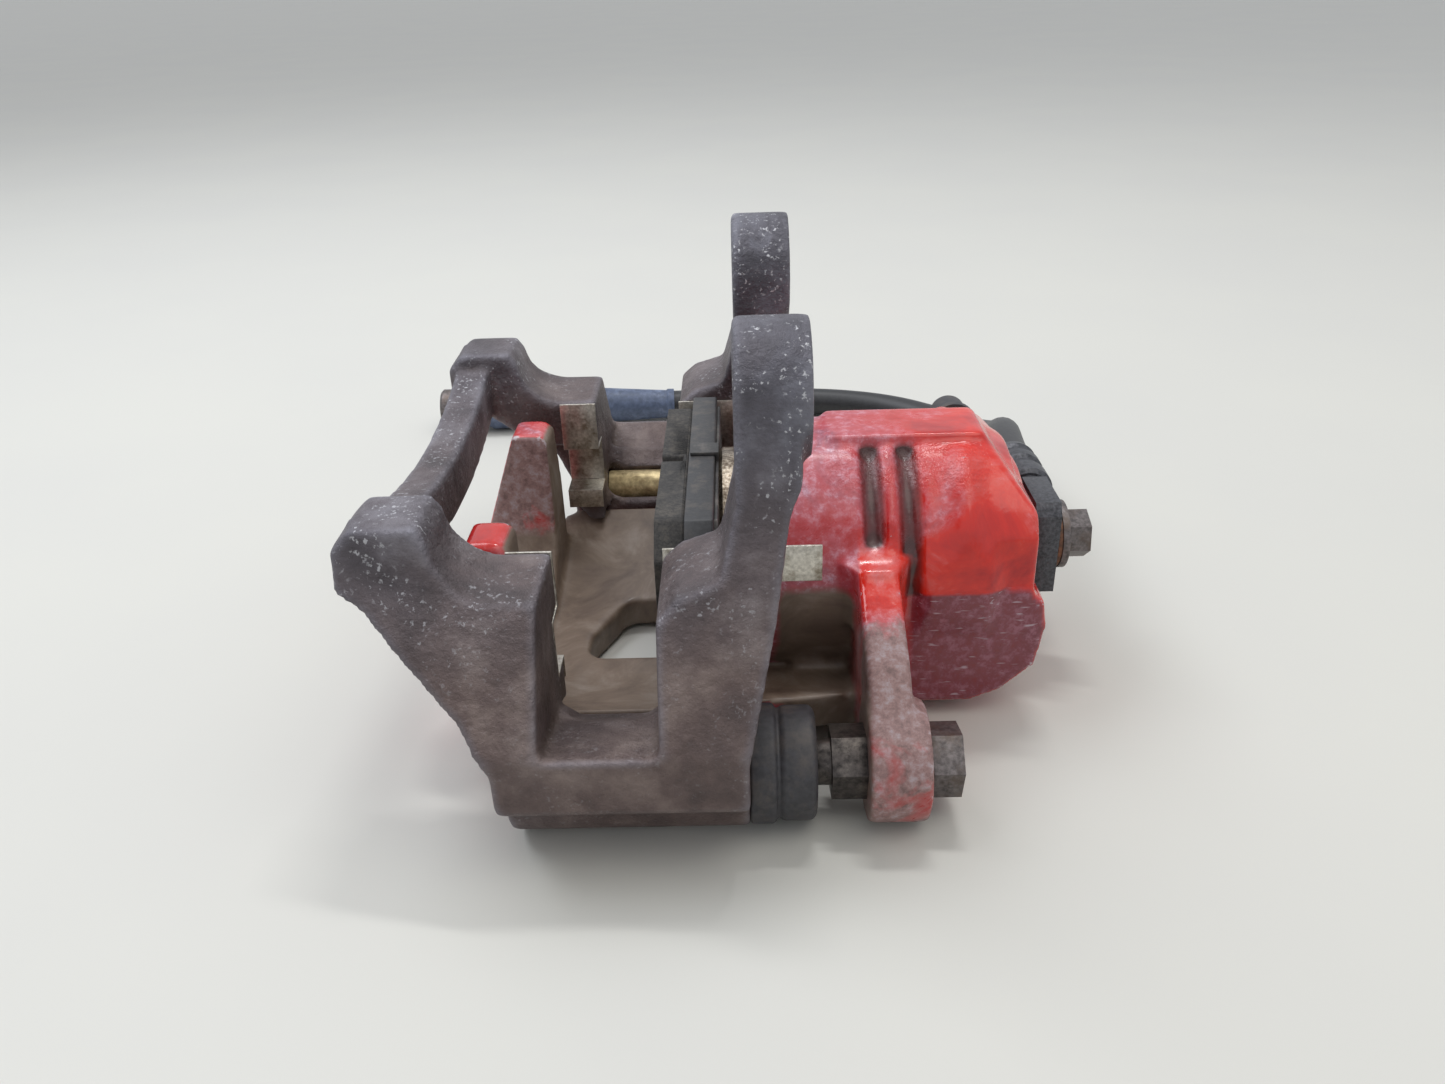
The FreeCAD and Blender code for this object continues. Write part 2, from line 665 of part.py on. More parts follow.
def make_guide_pin(side, sign, height):
    """A plain pin in the bracket's bore, with flats outside the boot and a thread for its bolt."""
    y = sign * pin_y
    shank = rod("pin_shank_" + side, "x", seat_x - cell("pin_reach"), web_x - 1, y, height,
                cell("pin_radius"))
    neck = rod("pin_neck_" + side, "x", seat_x + cell("boot_length") + 3.2, web_x, y, height,
               cell("pin_hex_flats") / 2)
    flats = hexagon("pin_flats_" + side, "x", web_x - cell("pin_hex_length"), web_x, y, height,
                    cell("pin_hex_flats"), 15)
    thread = rod("pin_thread_" + side, "x", web_x - cell("bolt_reach"), web_x + 1, y, height,
                 cell("bolt_radius") + cell("running_gap"))
    cut("guide_pin_" + side, fuse("pin_solid_" + side, shank, neck, flats), thread)


def make_pin_bolt(side, sign, height):
    y = sign * pin_y
    seat = web_x + cell("ear_length")
    shank = rod("bolt_shank_" + side, "x", web_x - cell("bolt_reach") + 2, seat + 1, y, height,
                cell("bolt_radius"))
    collar = rod("bolt_collar_" + side, "x", seat, seat + 1, y, height, cell("bolt_flats") / 2)
    head = hexagon("bolt_head_" + side, "x", seat + 0.6, seat + cell("bolt_head"), y, height,
                   cell("bolt_flats"), 15)
    fuse("pin_bolt_" + side, shank, collar, head)


def ring(name, start, end, y, z, inner, outer):
    turned(name, [(0, inner), (0, outer), (as_size(end) - start, outer), (as_size(end) - start, inner)],
           start, y, z)


def make_piston():
    """A cup that opens towards the pad, with a groove for its dust boot."""
    length = cell("piston_length")
    outer = cell("piston_radius")
    inner = outer - cell("piston_wall")
    turned("piston", [
        (0, inner), (0, outer - 0.8), (0.8, outer), (length - 2, outer), (length, outer - 2),
        (length, 0), (length - cell("piston_wall"), 0), (length - cell("piston_wall"), inner)],
        piston_face, 0, piston_z)


def pad_outline(half, top, low_radius, corner):
    """A pad's outline in YZ: a flat top with cut corners and an edge along the disc's rim."""
    foot = rim_height(low_radius, half)
    return [(-half, foot), (half, foot, low_radius), (half, top - corner), (half - corner, top),
            (corner - half, top), (-half, top - corner)]


def make_pad():
    half = cell("pad_half_length")
    top = piston_z + cell("pad_top")
    radius = cell("disc_radius") - cell("pad_rim_gap")
    plate = prism("plate_blank", "yz", pad_outline(half, top + 1.6, radius, 4), plate_face, shim_face)
    reach = half + cell("pad_ear_reach")
    low = channel_z - cell("pad_ear_height") / 2
    high = channel_z + cell("pad_ear_height") / 2
    ears = box("plate_ears", (plate_face, shim_face), (-reach, reach), (low, high))
    fuse("pad_plate", plate, ears)
    block = prism("friction_blank", "yz", pad_outline(half - 0.8, top, radius - 1, 7), pad_face, plate_face)
    groove = box("friction_groove", (pad_face - 1, plate_face - 1.5),
                 (-cell("pad_groove") / 2, cell("pad_groove") / 2), (table_z, top + 5))
    cut("pad_friction", block, groove)
    shim = prism("shim_blank", "yz", pad_outline(half - 2, top, radius - 2, 5), shim_face, piston_face)
    wide = (as_size(-3), as_size(3))
    tab = box("shim_tab", (plate_face + 0.4, piston_face), wide,
              (top + 1.6, top + 1.6 + cell("shim_thickness")))
    riser = box("shim_riser", (shim_face, piston_face), wide,
                (top - 1, top + 1.6 + cell("shim_thickness")))
    fuse("pad_shim", shim, tab, riser)


def make_pad_spring():
    """The three-fingered clip that holds the pad's shim to the inside of the piston."""
    inner = cell("piston_radius") - cell("piston_wall")
    thick = 0.8
    start = piston_face
    disc = rod("spring_disc", "x", start, start + thick, 0, piston_z, 9)
    hole = rod("spring_hole", "x", start - 1, start + 2, 0, piston_z, 4)
    fingers = []
    for number, angle in enumerate((90, 210, 330)):
        across = math.cos(math.radians(angle))
        rise = math.sin(math.radians(angle))
        finger = doc.addObject("Part::Box", "spring_finger_%d" % number)
        bind(finger, "Length", thick)
        bind(finger, "Width", inner - 6.6)
        bind(finger, "Height", 7)
        finger.Placement = FreeCAD.Placement(
            FreeCAD.Vector(), FreeCAD.Rotation(FreeCAD.Vector(1, 0, 0), angle))
        bind(finger, "Placement.Base.x", start)
        bind(finger, "Placement.Base.y", as_size(6 * across + 3.5 * rise))
        bind(finger, "Placement.Base.z", piston_z + (6 * rise - 3.5 * across))
        fingers.append(finger)
    cut("pad_spring", fuse("spring_solid", disc, *fingers), hole)


SIDES = (("near", -1, pin_z), ("far", 1, far_pin_z))


def make_seals():
    """Square seal in the cylinder's groove and the bellows at its mouth."""
    start = mouth_x + cell("seal_setback")
    inner = cell("piston_radius") + cell("running_gap")
    ring("piston_seal", start + 0.05, start + cell("seal_width") - 0.05, 0, piston_z,
         inner, cell("piston_radius") + cell("seal_height") - 0.05)
    depth = cell("dust_boot_depth")
    outer = cell("piston_radius") + cell("dust_boot_width")
    inner = cell("piston_radius") + 0.3
    turned("dust_boot", [
        (depth, outer), (depth, inner), (depth - 1.6, inner), (depth - 1.6, outer - 1.4),
        (1.2, outer - 1.4), (1.2, inner), (-0.6, inner), (-0.6, outer - 0.9), (0, outer)],
        mouth_x, 0, piston_z)


block_x = body_end + cell("washer_thickness")
block_end = block_x + cell("banjo_width")
flange_x = block_end + cell("washer_thickness")
neck_z = piston_z + cell("banjo_height") / 2 - cell("neck_radius") - 1.4
neck_y = cell("banjo_depth") / 2
ferrule_y = neck_y + cell("neck_length")
hose_y = ferrule_y + cell("ferrule_length")
hose_x = block_x + cell("banjo_width") / 2


def make_banjo():
    """Hose block on the cylinder's end, with its hollow bolt and two copper washers."""
    hole = cell("banjo_radius") + 0.1
    for name, start in (("copper_washer_inner", body_end), ("copper_washer_outer", block_end)):
        ring(name, start, start + cell("washer_thickness"), 0, piston_z, hole, cell("washer_radius"))
    half = cell("banjo_height") / 2
    depth = cell("banjo_depth") / 2
    blank = prism("block_blank", "yz", [
        (-depth, piston_z - half), (depth, piston_z - half), (depth, piston_z + half),
        (2 - depth, piston_z + half), (-depth, piston_z + half - 3)], block_x, block_end)
    waist = rod("block_waist", "y", depth - 1, ferrule_y - 1, hose_x, neck_z, cell("banjo_width") / 2)
    neck = rod("block_neck", "y", depth + 1.6, ferrule_y, hose_x, neck_z, cell("neck_radius"))
    cut("banjo_block", fuse("block_solid", blank, waist, neck),
        rod("block_hole", "x", block_x - 1, block_end + 1, 0, piston_z, hole))
    shank = rod("banjo_shank", "x", block_x - 12, flange_x + 1, 0, piston_z, cell("banjo_radius"))
    flange = rod("banjo_flange_disc", "x", flange_x, flange_x + cell("banjo_flange"), 0, piston_z,
                 cell("banjo_flange_radius"))
    head = hexagon("banjo_head_hex", "x", flange_x + cell("banjo_flange") - 0.5,
                   flange_x + cell("banjo_flange") + cell("banjo_head"), 0, piston_z,
                   cell("banjo_flats"), -11)
    fuse("banjo_bolt", shank, flange, head)


def make_ferrule():
    """The crimped steel shell where the hose leaves the block."""
    outer = cell("ferrule_radius")
    length = cell("ferrule_length")
    turned("hose_ferrule", [
        (0, 0), (0, outer - 1), (1, outer), (length * 0.3, outer), (length * 0.36, outer - 0.8),
        (length * 0.46, outer - 0.8), (length * 0.52, outer), (length * 0.68, outer),
        (length * 0.74, outer - 0.8), (length * 0.84, outer - 0.8), (length * 0.9, outer - 0.2),
        (length, outer - 0.6), (length, 0)],
        hose_x, ferrule_y, neck_z, FreeCAD.Rotation(FreeCAD.Vector(0, 0, 1), 90))


def hose_points():
    """The hose's route: off the block, down to the table behind the brake and along it."""
    start = FreeCAD.Vector(hose_x.value, hose_y.value, neck_z.value)
    table = table_z.value
    lie = table + cell("hose_radius").value + 0.05
    offset = seat_x.value
    chosen = [
        (76.5, 51, table + 38.2), (80.5, 69, table + 33), (84.2, 88, table + 24.5), (86.6, 108, table + 15.4),
        (84.4, 129, table + 8.3), (75.4, 147.6, lie + 0.2), (60.2, 162, lie), (40.2, 170.4, lie),
        (18, 173.6, lie), (-4.5, 173.4, lie + 0.1)]
    points = [FreeCAD.Vector(x + offset, y, z) for x, y, z in chosen]
    end = FreeCAD.Vector(-27 + offset, 171.8, table + cell("sleeve_small_radius").value + 0.05)
    return [start] + points + [end]


def cord_path(points):
    """Straight runs joined by tangent arcs, as large as the two runs at each corner allow."""
    edges = []
    radii = []
    here = points[0]
    for before, corner, after in zip(points, points[1:], points[2:]):
        back = before - corner
        ahead = after - corner
        shorter = min(back.Length, ahead.Length)
        back.normalize()
        ahead.normalize()
        turn = math.pi - back.getAngle(ahead)
        reach = 0.45 * shorter
        radii.append(reach / math.tan(turn / 2))
        first = corner + back * reach
        last = corner + ahead * reach
        inward = (back + ahead).normalize()
        depth = radii[-1] / math.cos(turn / 2) - radii[-1]
        edges.append(Part.LineSegment(here, first).toShape())
        edges.append(Part.Arc(first, corner + inward * depth, last).toShape())
        here = last
    edges.append(Part.LineSegment(here, points[-1]).toShape())
    return Part.Wire(edges), radii


def make_hose():
    points = hose_points()
    wire, radii = cord_path(points)
    radius = cell("hose_radius").value
    circle = Part.Circle(points[0], points[1] - points[0], radius)
    profile = Part.Wire(circle.toShape())
    tube = wire.makePipeShell([profile], True, False)
    hose = doc.addObject("Part::Feature", "brake_hose")
    hose.Shape = tube
    hose.Placement = FreeCAD.Placement()
    print("hose length %.1f" % wire.Length)
    print("hose radii " + " ".join("%.0f" % value for value in radii))
    section = math.pi * radius ** 2
    print("hose volume over section times length %.4f" % (tube.Volume / (section * wire.Length)))


def make_hose_end():
    """The tapered sleeve over the hose's end and the steel socket for the brake pipe."""
    points = hose_points()
    along = points[-1] - points[-2]
    length = cell("sleeve_length")
    small = cell("sleeve_small_radius")
    large = cell("sleeve_large_radius")
    end = points[-1]
    level = FreeCAD.Vector(along.x, along.y, 0).normalize()
    rise = math.asin((large.value - small.value) / length.value)
    way = level * math.cos(rise) + FreeCAD.Vector(0, 0, math.sin(rise))
    rotation = FreeCAD.Rotation(FreeCAD.Vector(1, 0, 0), way)
    turned("hose_sleeve", [
        (0, 0), (0, small), (2.5, small), (3, small - 0.5), (length * 0.6, large - 0.7),
        (length - 2, large), (length, large - 1), (length, 0)],
        end.x, end.y, end.z, rotation)
    seat = end + way * length.value
    depth = cell("fitting_length")
    collar = cell("fitting_flats") / 2
    bore = cell("fitting_bore_radius")
    turned("hose_end", [
        (0, 0), (0, collar), (4, collar), (5, collar - 1), (6, collar - 1), (7, collar),
        (depth - 1, collar), (depth, collar - 1), (depth, bore), (depth - 11, bore), (depth - 13, 0)],
        seat.x, seat.y, seat.z, rotation)


def make_bleed():
    """The bleed screw in the cylinder's far side, and its rubber dust cap."""
    radius = cell("bleed_radius")
    flats_end = bleed_y + 0.6 + cell("bleed_hex_length")
    tip = flats_end + cell("bleed_nipple")
    screw = rod("bleed_thread", "y", bleed_y - cell("bleed_engagement"), bleed_y + 2,
                bleed_x, bleed_z, radius)
    flats = hexagon("bleed_flats", "y", bleed_y + 0.6, flats_end, bleed_x, bleed_z,
                    cell("bleed_hex_flats"), 0)
    nipple = rod("bleed_nipple_rod", "y", flats_end, tip, bleed_x, bleed_z, radius - 0.6)
    bead = taper("bleed_bead", "y", tip - 3, tip, bleed_x, bleed_z, radius + 0.2, radius - 1)
    fuse("bleed_screw", screw, flats, nipple, bead)
    inner = radius + 0.5
    depth = cell("bleed_nipple") + 0.2
    turned("bleed_cap", [
        (0, inner), (0, inner + 2.4), (2, inner + 2.4), (3, inner + 1.3), (depth + 1.4, inner + 1),
        (depth + 2.4, inner), (depth + 2.4, 0), (depth, 0), (depth, inner)],
        bleed_x, flats_end + 0.4, bleed_z, FreeCAD.Rotation(FreeCAD.Vector(0, 0, 1), 90))


def make_pin_bush():
    """The rubber bush on the far pin's tip, which quietens it in the bore."""
    ring("pin_bush", seat_x - cell("pin_reach") - 3.5, seat_x - cell("pin_reach"), pin_y, far_pin_z,
         1.5, cell("pin_radius") - 0.2)


make_bracket()
make_caliper_body()
make_seals()
make_piston()
make_pad()
make_pad_spring()
make_banjo()
make_ferrule()
make_hose()
make_hose_end()
make_bleed()
make_pin_bush()
for side, sign, height in SIDES:
    make_pin_boot(side, sign, height)
    make_guide_pin(side, sign, height)
    make_pin_bolt(side, sign, height)
    clip_reach = slot_in + cell("clip_strip_length")
    make_pad_clip(side, sign, "inner", slot_in, slot_in + 17.5, clip_reach)
    make_pad_clip(side, sign, "outer", slot_out - cell("leg_depth"), slot_out, slot_out)

NODES = ["bracket", "caliper_body", "piston_seal", "dust_boot", "piston", "pad_plate", "pad_friction",
         "pad_shim", "pad_spring", "banjo_block", "banjo_bolt", "copper_washer_inner",
         "copper_washer_outer", "hose_ferrule", "brake_hose", "hose_sleeve", "hose_end", "bleed_screw",
         "bleed_cap", "pin_bush"]
for side, sign, height in SIDES:
    NODES += ["pin_boot_" + side, "guide_pin_" + side, "pin_bolt_" + side,
              "pad_clip_%s_inner" % side, "pad_clip_%s_outer" % side]

doc.recompute()
for item in doc.Objects:
    if "Invalid" in item.State or "Error" in item.State:
        raise RuntimeError("%s is %s" % (item.Name, item.State))
for name in NODES:
    item = doc.getObject(name)
    item.Label = name
    if item.Shape.isNull() or not item.Shape.isValid():
        raise RuntimeError(name + " has no valid shape")
    item.Shape.exportStep("parts/%s.step" % name)
    print("%-24s %d solid, %.0f mm3" % (name, len(item.Shape.Solids), item.Shape.Volume))
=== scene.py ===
# %% [markdown]
# A brake caliper on a plain bench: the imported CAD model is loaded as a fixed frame, and everything here
# dresses it. The castings get soft, cast edges and worn paint, the fasteners get turned and rolled
# edges, and the hose becomes one smooth curve. Lengths are in metres.

# %% Load the frame
import json
import math

import bpy
import numpy as np
from mathutils import Matrix, Vector


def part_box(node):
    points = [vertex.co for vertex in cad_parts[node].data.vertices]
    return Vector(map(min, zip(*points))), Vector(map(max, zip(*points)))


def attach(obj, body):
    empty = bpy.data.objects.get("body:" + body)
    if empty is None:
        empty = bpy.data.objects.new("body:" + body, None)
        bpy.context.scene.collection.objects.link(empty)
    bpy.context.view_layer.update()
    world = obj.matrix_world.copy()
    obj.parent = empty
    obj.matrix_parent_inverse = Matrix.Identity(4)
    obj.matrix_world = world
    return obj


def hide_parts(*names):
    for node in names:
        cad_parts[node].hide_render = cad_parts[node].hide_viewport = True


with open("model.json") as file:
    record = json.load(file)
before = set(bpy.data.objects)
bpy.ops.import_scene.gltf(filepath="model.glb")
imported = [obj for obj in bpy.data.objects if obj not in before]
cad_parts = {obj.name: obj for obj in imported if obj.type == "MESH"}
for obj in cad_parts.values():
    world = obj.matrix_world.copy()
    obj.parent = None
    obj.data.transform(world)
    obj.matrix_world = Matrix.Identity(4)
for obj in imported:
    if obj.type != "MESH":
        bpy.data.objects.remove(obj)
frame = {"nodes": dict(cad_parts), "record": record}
scene = bpy.context.scene
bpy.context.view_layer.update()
MM = 0.001
BODY_OF = {node: body for body, nodes in frame["record"]["behaviour"]["bodies"].items() for node in nodes}
SLOT_OF = {entry["node"]: entry["material_slot"] for entry in frame["record"]["subparts"]}
TABLE_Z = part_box("caliper_body")[0].z

# %% [markdown]
# The camera stands where the photograph was taken from: a quarter of a metre from the brake's middle, as
# high above the bench as the brake is wide, looking down by 28 degrees with the frame turned by two. Set
# by eye it would drift, so its angles are numbers, and the lens comes from the picture's width and the
# focal length, both in pixels.

# %% Camera
PICTURE_WIDTH = 1445
FOCAL_PIXELS = 1114.6
PITCH = math.radians(28.16)
YAW = math.radians(-1.28)
ROLL = math.radians(2.0)
EYE = Vector((-13.4 * MM, -250.6 * MM, TABLE_Z + 168.4 * MM))


def make_camera():
    """The camera, whose axes come from its pitch, yaw and roll."""
    forward = Vector((math.sin(YAW) * math.cos(PITCH), math.cos(YAW) * math.cos(PITCH), -math.sin(PITCH)))
    level = Vector((math.cos(YAW), -math.sin(YAW), 0.0))
    down = forward.cross(level)
    right = math.cos(ROLL) * level + math.sin(ROLL) * down
    up = -(math.cos(ROLL) * down - math.sin(ROLL) * level)
    data = bpy.data.cameras.new("camera")
    data.sensor_width = 36.0
    data.lens = FOCAL_PIXELS / PICTURE_WIDTH * data.sensor_width
    data.clip_start = 0.01
    camera = bpy.data.objects.new("camera", data)
    scene.collection.objects.link(camera)
    turn = Matrix((right, up, -forward)).transposed().to_4x4()
    camera.matrix_world = Matrix.Translation(EYE) @ turn
    scene.camera = camera
    return camera


camera = make_camera()
print("lens", round(camera.data.lens, 2), "mm")

# %% [markdown]
# Every material is built from nodes. One helper adds a node with its settings, its socket values and its
# links, and one turns the hex colours that a paint chart gives into the linear values that a shader uses.

# %% Node helpers


def colour(code):
    """A linear RGBA colour from an sRGB hex code."""
    channels = [int(code[i:i + 2], 16) / 255 for i in (1, 3, 5)]
    return tuple(c / 12.92 if c <= 0.04045 else ((c + 0.055) / 1.055) ** 2.4 for c in channels) + (1.0,)


def node(tree, kind, sockets=None, ramp=None, **settings):
    """Adds a node; sockets maps an input's name or number to a value or an output, ramp lists tones."""
    made = tree.nodes.new(kind)
    for name, value in settings.items():
        setattr(made, name, value)
    for key, value in (sockets or {}).items():
        if isinstance(value, bpy.types.NodeSocket):
            tree.links.new(value, made.inputs[key])
        else:
            made.inputs[key].default_value = value
    if ramp:
        elements = made.color_ramp.elements
        while len(elements) < len(ramp):
            elements.new(0.5)
        for element, (position, tone) in zip(elements, ramp):
            element.position = position
            element.color = tone
    return made


def new_material(name):
    """A material with a lone principled shader, its tree, and its object coordinates."""
    material = bpy.data.materials.new(name)
    material.use_nodes = True
    tree = material.node_tree
    shader = tree.nodes["Principled BSDF"]
    place = tree.nodes.new("ShaderNodeTexCoord").outputs["Object"]
    return material, tree, shader, place


def blend_colours(tree, factor, first, second):
    """Mixes two colours, each a socket or a linear colour."""
    return node(tree, "ShaderNodeMix", {"Factor": factor, "A": first, "B": second},
                data_type="RGBA").outputs["Result"]


def attribute(tree, name):
    """A value that a casting keeps on its vertices."""
    return node(tree, "ShaderNodeAttribute", attribute_name=name).outputs["Fac"]


print("mid grey is", round(colour("#808080")[0], 3), "in linear light")

# %% [markdown]
# The bench is a plain pale floor that runs far past the picture's edges. The camera and glossy surfaces
# see bright surroundings, while the light that falls on the brake is softer. Two broad lamps stand for a
# window and a ceiling, and a narrow strip above draws the small highlights on the paint's shoulders.

# %% Floor, world and lamps
FLOOR_SIZE = 60.0
FLOOR_GAP = 0.2 * MM
LIGHT_ON_BRAKE = 0.62
LIGHT_IN_VIEW = 0.95


def make_floor():
    """A bench top in pale enamel, a hair below the brake's lowest point."""
    bpy.ops.object.select_all(action="DESELECT")
    bpy.ops.mesh.primitive_plane_add(size=FLOOR_SIZE, location=(0, 0, TABLE_Z - FLOOR_GAP))
    floor = bpy.context.object
    floor.name = "floor"
    # Baked enamel, satin, in two greys that hardly differ
    material, tree, shader, place = new_material("bench_enamel")
    grain = node(tree, "ShaderNodeTexNoise", {"Vector": place, "Scale": 9.0, "Detail": 5.0})
    tint = node(tree, "ShaderNodeValToRGB", {"Fac": grain.outputs["Fac"]},
                ramp=[(0.35, colour("#cfcec8")), (0.65, colour("#d1d0c9"))])
    tree.links.new(tint.outputs["Color"], shader.inputs["Base Color"])
    shader.inputs["Roughness"].default_value = 0.55
    floor.data.materials.append(material)


def make_world():
    """Cool white surroundings, brighter where they are seen than where they light the brake."""
    world = bpy.data.worlds.new("studio")
    world.use_nodes = True
    tree = world.node_tree
    background = tree.nodes["Background"]
    background.inputs["Color"].default_value = colour("#eef1f6")
    path = node(tree, "ShaderNodeLightPath")
    seen = node(tree, "ShaderNodeMath",
                {0: path.outputs["Is Camera Ray"], 1: path.outputs["Is Glossy Ray"]}, operation="MAXIMUM")
    strength = node(tree, "ShaderNodeMapRange",
                    {"Value": seen.outputs[0], "To Min": LIGHT_ON_BRAKE, "To Max": LIGHT_IN_VIEW})
    tree.links.new(strength.outputs["Result"], background.inputs["Strength"])
    scene.world = world


def add_lamp(name, place, size, power, tint):
    """A rectangular area lamp that points at the brake's middle."""
    data = bpy.data.lights.new(name, "AREA")
    data.shape = "RECTANGLE"
    data.size, data.size_y = size
    data.energy = power
    data.color = colour(tint)[:3]
    lamp = bpy.data.objects.new(name, data)
    scene.collection.objects.link(lamp)
    lamp.location = place
    lamp.rotation_euler = (CENTRE - Vector(place)).to_track_quat("-Z", "Y").to_euler()


CENTRE = Vector((0.0, 0.0, TABLE_Z + 40 * MM))
# Each lamp's name, place, width and length in metres, power in watts and tint
LAMPS = [
    ("window_lamp", (-0.55, 0.25, 0.85), (0.7, 0.5), 5.6, "#f4f8ff"),
    ("ceiling_lamp", (0.35, -0.35, 0.95), (0.9, 0.6), 2.6, "#fffaf0"),
    ("strip_lamp", (0.1, 0.3, 0.9), (0.3, 0.05), 2.4, "#ffffff"),
]
make_floor()
make_world()
for lamp in LAMPS:
    add_lamp(*lamp)
scene.view_settings.view_transform = "Standard"
print(len(LAMPS), "lamps over a pale floor")

# %% [markdown]
# The hose leaves its crimped shell, falls to the bench behind the brake and lies along it to the left.
# A curve with the fitter's own points gives one smooth line; an order of three keeps it near its points.

# %% Hose route
HOSE_RADIUS = 5.25 * MM
ferrule_low, ferrule_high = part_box("hose_ferrule")
HOSE_START = (
    (ferrule_low.x + ferrule_high.x) / 2, ferrule_high.y, (ferrule_low.z + ferrule_high.z) / 2)
# Height of the hose's middle where it lies on the bench, in millimetres
LIE = 5.3
# Points in millimetres, with heights above the bench
ROUTE_MM = [
    (76.5, 51, 38.2), (80.5, 69, 33), (84.2, 88, 24.5), (86.6, 108, 15.4), (84.4, 129, 8.3),
    (75.4, 147.6, LIE + 0.2), (60.2, 162, LIE), (40.2, 170.4, LIE), (18, 173.6, LIE),
    (-4.5, 173.4, LIE + 0.1), (-27, 171.8, 6.05)]
ROUTE_SHIFT = Vector((-13.4 * MM, 0.0, TABLE_Z))


def make_hose():
    """The hose as a round curve through its route, and its length."""
    route = [Vector(HOSE_START)] + [Vector(point) * MM + ROUTE_SHIFT for point in ROUTE_MM]
    data = bpy.data.curves.new("brake_hose_line", "CURVE")
    data.dimensions = "3D"
    data.resolution_u = 10
    data.bevel_depth = HOSE_RADIUS
    data.bevel_resolution = 8
    data.use_fill_caps = True
    spline = data.splines.new("NURBS")
    spline.points.add(len(route) - 1)
    for point, place in zip(spline.points, route):
        point.co = (*place, 1.0)
    spline.order_u = 3
    spline.use_endpoint_u = True
    hose = bpy.data.objects.new("hose_rubber_tube", data)
    scene.collection.objects.link(hose)
    length = spline.calc_length()
    print("hose length", round(length, 4))
    return hose, length


hose, hose_length = make_hose()

# %% [markdown]
# The bracket is grey cast iron, poured in sand and left bare: a mottled brown-grey skin with a fine sandy
# relief, pale oxide specks where water has stood, and a cooler grey where hands and weather reach. The
# two skins could be painted on, but blending them by height and noise covers every side alike.

# %% Cast iron
BROWN_BELOW = 45 * MM
GREY_ABOVE = 85 * MM


def cast_iron():
    """Bare sand-cast iron: brown below, cool grey above, specked; edges rubbed and given a painted sheen,
    hollows dirt and painted shade.
    """
    material, tree, shader, place = new_material("weathered_cast_iron")
    blotch = node(tree, "ShaderNodeTexNoise",
                  {"Vector": place, "Scale": 55.0, "Detail": 6.0, "Roughness": 0.62})
    brown = node(tree, "ShaderNodeValToRGB", {"Fac": blotch.outputs["Fac"]},
                 ramp=[(0.3, colour("#3f3433")), (0.5, colour("#60514e")), (0.7, colour("#84756f"))])
    cool = node(tree, "ShaderNodeValToRGB", {"Fac": blotch.outputs["Fac"]},
                ramp=[(0.3, colour("#35343a")), (0.52, colour("#55535b")), (0.72, colour("#7d7e88"))])
    height = node(tree, "ShaderNodeSeparateXYZ", {"Vector": place})
    lift = node(tree, "ShaderNodeMapRange",
                {"Value": height.outputs["Z"], "From Min": TABLE_Z + BROWN_BELOW,
                 "From Max": TABLE_Z + GREY_ABOVE})
    drift = node(tree, "ShaderNodeTexNoise", {"Vector": place, "Scale": 30.0, "Detail": 3.0})
    shift = node(tree, "ShaderNodeMath", {0: drift.outputs["Fac"], 1: -0.45}, operation="ADD")
    weather = node(tree, "ShaderNodeMath", {0: lift.outputs["Result"], 1: shift.outputs[0]},
                   operation="ADD", use_clamp=True)
    skin = blend_colours(tree, weather.outputs[0], brown.outputs["Color"], cool.outputs["Color"])
    cells = node(tree, "ShaderNodeTexNoise", {"Vector": place, "Scale": 950.0, "Detail": 2.0,
                                              "Roughness": 0.6})
    patch = node(tree, "ShaderNodeTexNoise", {"Vector": place, "Scale": 120.0, "Detail": 2.0})
    near = node(tree, "ShaderNodeMapRange", {"Value": cells.outputs["Fac"], "From Min": 0.6,
                                              "From Max": 0.68})
    rare = node(tree, "ShaderNodeMapRange",
                {"Value": patch.outputs["Fac"], "From Min": 0.42, "From Max": 0.56})
    speck = node(tree, "ShaderNodeMath", {0: near.outputs["Result"], 1: rare.outputs["Result"]},
                 operation="MULTIPLY")
    high = node(tree, "ShaderNodeMapRange", {"Value": weather.outputs[0], "To Min": 0.12, "To Max": 0.95})
    amount = node(tree, "ShaderNodeMath", {0: speck.outputs[0], 1: high.outputs["Result"]},
                  operation="MULTIPLY", use_clamp=True)
    # Hollows darkened by dirt and by painted shade
    skin = blend_colours(tree, attribute(tree, "hollow_dirt_and_shade"), skin, colour("#4a3d35"))
    # Convex edges lightened to a bluish grey: rubbed metal, and a painted sheen where light would catch
    # them
    edge_rub_and_sheen = node(tree, "ShaderNodeMath", {0: attribute(tree, "edge_wear_and_sheen"), 1: blotch.outputs["Fac"]},
                operation="MULTIPLY")
    skin = blend_colours(tree, edge_rub_and_sheen.outputs[0], skin, colour("#85848e"))
    base = blend_colours(tree, amount.outputs[0], skin, colour("#bcbcc0"))
    tree.links.new(base, shader.inputs["Base Color"])
    shader.inputs["Metallic"].default_value = 0.35
    gloss = node(tree, "ShaderNodeMapRange",
                 {"Value": blotch.outputs["Fac"], "To Min": 0.4, "To Max": 0.62})
    tree.links.new(gloss.outputs["Result"], shader.inputs["Roughness"])
    sand = node(tree, "ShaderNodeTexNoise",
                {"Vector": place, "Scale": 900.0, "Detail": 4.0, "Roughness": 0.7})
    swell = node(tree, "ShaderNodeTexNoise", {"Vector": place, "Scale": 240.0, "Detail": 5.0})
    relief = node(tree, "ShaderNodeMath", {0: swell.outputs["Fac"], 1: 2.0, 2: sand.outputs["Fac"]},
                  operation="MULTIPLY_ADD")
    bump = node(tree, "ShaderNodeBump",
                {"Height": relief.outputs[0], "Strength": 0.8, "Distance": 0.6 * MM})
    tree.links.new(bump.outputs["Normal"], shader.inputs["Normal"])
    return material


iron = cast_iron()
print(iron.name, len(iron.node_tree.nodes), "nodes")
